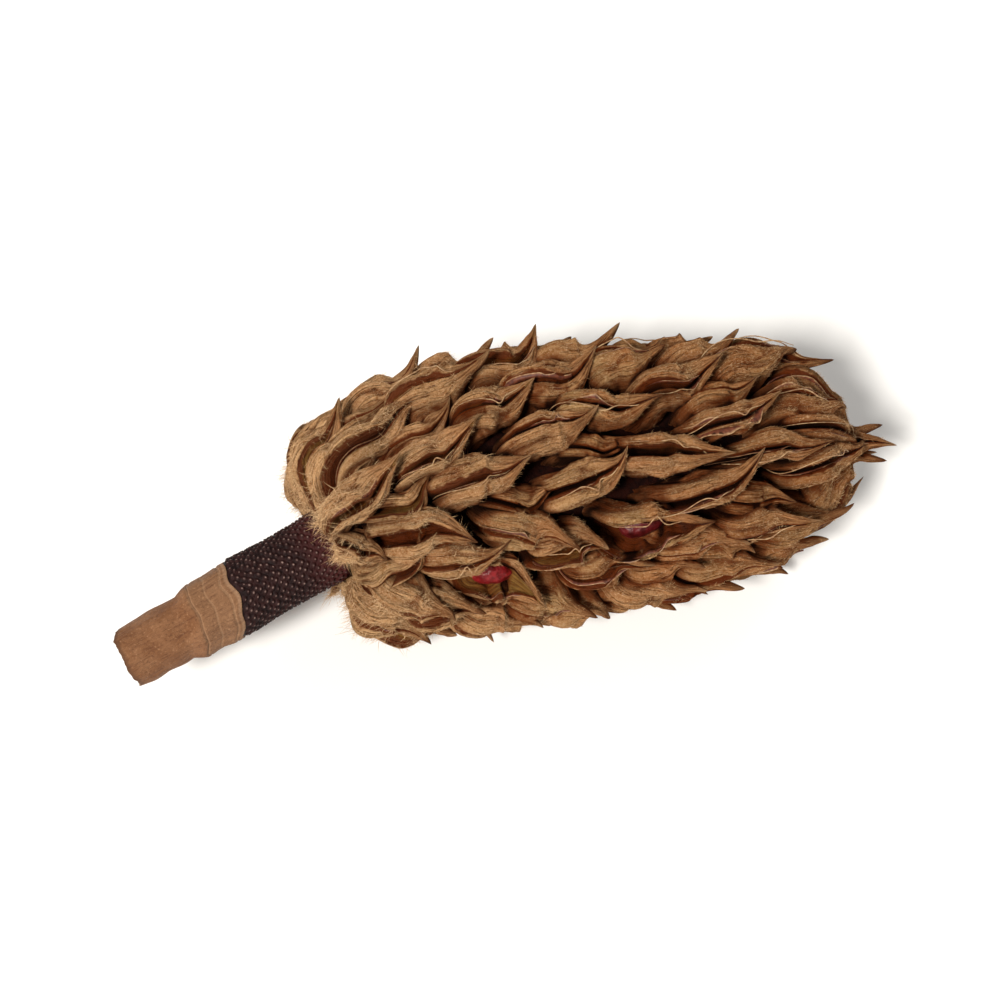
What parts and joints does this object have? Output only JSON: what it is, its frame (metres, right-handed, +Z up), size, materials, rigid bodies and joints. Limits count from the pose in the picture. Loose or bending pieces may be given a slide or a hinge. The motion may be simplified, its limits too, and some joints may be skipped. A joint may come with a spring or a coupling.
{
  "type": "magnolia seed pod",
  "caption": "Dried magnolia seed pod lying on its side: a blunt oval head of overlapping felted follicles with curled beaks, on a dark scarred collar and a short woody stem.",
  "frame": {"origin": "middle of the bounding box's footprint, on the surface that the pod lies on", "axes": "+X along the pod from the cut stem towards the tip of the head, +Z up, +Y to the pod's left side"},
  "size_m": [0.1286, 0.0498, 0.0468],
  "materials": {
    "felt": "matt woody follicles with short tan felt outside and dark reddish linings",
    "scars": "dark purple-brown skin with small pale dots",
    "wood": "dry tan-brown bark with ring scars and a rough cut end",
    "seed": "shrunken red seed coat, slightly glossy"
  },
  "bodies": {
    "root": {"follicle_head": "felt", "stamen_scar_collar": "scars", "woody_stem": "wood", "seed_1": "seed", "seed_2": "seed"}
  },
  "joints": []
}
